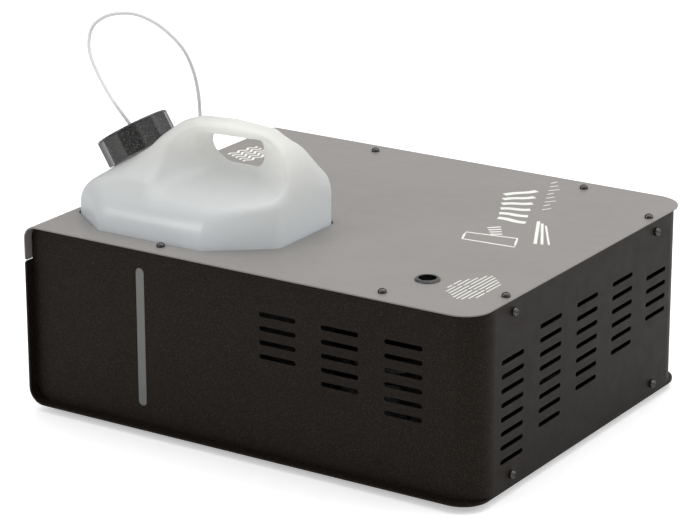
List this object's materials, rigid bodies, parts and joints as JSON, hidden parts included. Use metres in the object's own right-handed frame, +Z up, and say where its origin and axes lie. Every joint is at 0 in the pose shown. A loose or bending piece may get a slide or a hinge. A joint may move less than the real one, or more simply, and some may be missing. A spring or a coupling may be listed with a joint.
{
  "type": "fog machine",
  "caption": "Low steel-cased fog machine with vented sides, level window and a lift-out translucent fluid bottle feeding the pump by a looped clear tube.",
  "frame": {"origin": "centre of the overall box (casing plus tube loop) on the floor; the casing's centre is 8 mm towards +X from it", "axes": "+X along the case towards the vented end, away from the nozzle; +Y towards the connector side; +Z up"},
  "size_m": [0.5035, 0.396, 0.3533],
  "materials": {
    "black_powder_coat": "fine-textured black powder coat",
    "grey_paint": "satin warm grey paint with a fine texture",
    "well_paint": "satin black paint",
    "zinc_steel": "zinc plated",
    "machined_steel": "machined",
    "black_screws": "black oxide",
    "black_rubber": "matt",
    "window_plastic": "frosted translucent",
    "natural_hdpe": "natural translucent polyethylene",
    "black_cap_plastic": "moulded, satin",
    "socket_black": "moulded, glossy",
    "black_nylon": "moulded",
    "clear_tube": "clear flexible tube",
    "white_plastic": "moulded",
    "coil_wrap": "wrapped winding",
    "brass_fitting": "machined",
    "cast_aluminium": "as cast",
    "ceramic_fibre": "matt fibre blanket",
    "board_laminate": "solder mask",
    "relay_case": "moulded",
    "wire_insulation": "soft",
    "nickel_pins": "nickel plated",
    "fuse_glass": "clear",
    "rocker_plastic": "moulded",
    "lamp_lens": "translucent lens",
    "button_plastic": "moulded"
  },
  "bodies": {
    "housing": {"base_pan": "black_powder_coat", "board_standoffs": "white_plastic", "bottle_well": "well_paint", "capacitors": "relay_case", "case_screws": "black_screws", "control_board": "board_laminate", "cover_screws": "black_screws", "end_brackets": "zinc_steel", "evaporator_tube": "machined_steel", "feed_pipe": "machined_steel", "fluid_tube": "clear_tube", "fog_button_bezel": "nickel_pins", "foot_screws": "black_screws", "fuse_holder": "black_nylon", "heat_shield": "zinc_steel", "heater_block_lower": "cast_aluminium", "heater_block_upper": "cast_aluminium", "heater_brackets": "zinc_steel", "heater_cartridges": "machined_steel", "heater_clamp_bolts": "zinc_steel", "heater_insulation": "ceramic_fibre", "inlet_pins": "nickel_pins", "inlet_screws": "black_screws", "level_window": "window_plastic", "mains_inlet": "black_nylon", "nozzle": "brass_fitting", "power_switch_frame": "black_nylon", "pump_body": "white_plastic", "pump_bracket": "zinc_steel", "pump_coil": "coil_wrap", "pump_isolators": "black_rubber", "pump_outlet_fitting": "brass_fitting", "pump_screws": "zinc_steel", "pump_spring": "machined_steel", "pump_yoke": "zinc_steel", "ready_lamp": "lamp_lens", "relay": "relay_case", "remote_socket_contacts": "nickel_pins", "remote_socket_insert": "black_nylon", "remote_socket_shell": "socket_black", "rubber_feet": "black_rubber", "side_wrap": "black_powder_coat", "thermal_cutout": "white_plastic", "thermostat": "machined_steel", "top_cover": "grey_paint", "transformer_core": "zinc_steel", "transformer_winding": "coil_wrap", "tube_grommet": "black_rubber", "wiring": "wire_insulation"},
    "bottle": {"fluid_bottle": "natural_hdpe"},
    "cap_core": {"hose_fitting": "black_nylon", "dip_tube": "clear_tube", "intake_filter": "white_plastic"},
    "cap": {"bottle_cap": "black_cap_plastic", "cap_seal": "black_rubber"},
    "rocker": {"power_switch_rocker": "rocker_plastic"},
    "button": {"fog_button": "button_plastic"},
    "plunger": {"pump_plunger": "machined_steel"},
    "fuse": {"fuse_link": "fuse_glass"},
    "fuse_carrier": {"fuse_cap": "black_nylon"}
  },
  "joints": [
    {"name": "bottle_lift", "type": "slide", "parent": "housing", "child": "bottle", "axis": [0, 0, 1], "range_m": [0, 0.18], "deforming": ["fluid_tube"]},
    {"name": "cap_rise", "type": "slide", "parent": "bottle", "child": "cap_core", "axis": [-0.5329, 0, 0.8462], "range_m": [0, 0.0121]},
    {"name": "cap_turn", "type": "hinge", "parent": "cap_core", "child": "cap", "pos_m": [-0.177, -0.085, 0.232], "axis": [-0.5329, 0, 0.8462], "range_deg": [0, 720]},
    {"name": "switch_rock", "type": "hinge", "parent": "housing", "child": "rocker", "pos_m": [0.12, 0.182, 0.048], "axis": [1, 0, 0], "range_deg": [-24, 0]},
    {"name": "fog_button_press", "type": "slide", "parent": "housing", "child": "button", "axis": [0, -1, 0], "range_m": [0, 0.003]},
    {"name": "pump_stroke", "type": "slide", "parent": "housing", "child": "plunger", "axis": [0, 0, 1], "range_m": [0, 0.005], "deforming": ["pump_spring"]},
    {"name": "fuse_withdraw", "type": "slide", "parent": "housing", "child": "fuse", "axis": [0, 1, 0], "range_m": [0, 0.035]},
    {"name": "fuse_cap_turn", "type": "hinge", "parent": "fuse", "child": "fuse_carrier", "pos_m": [0.154, 0.187, 0.048], "axis": [0, 1, 0], "range_deg": [0, 90]}
  ],
  "couplings": [
    {"joint": "cap_rise", "follows": "cap_turn", "m_per_rad": 0.00095493}
  ]
}
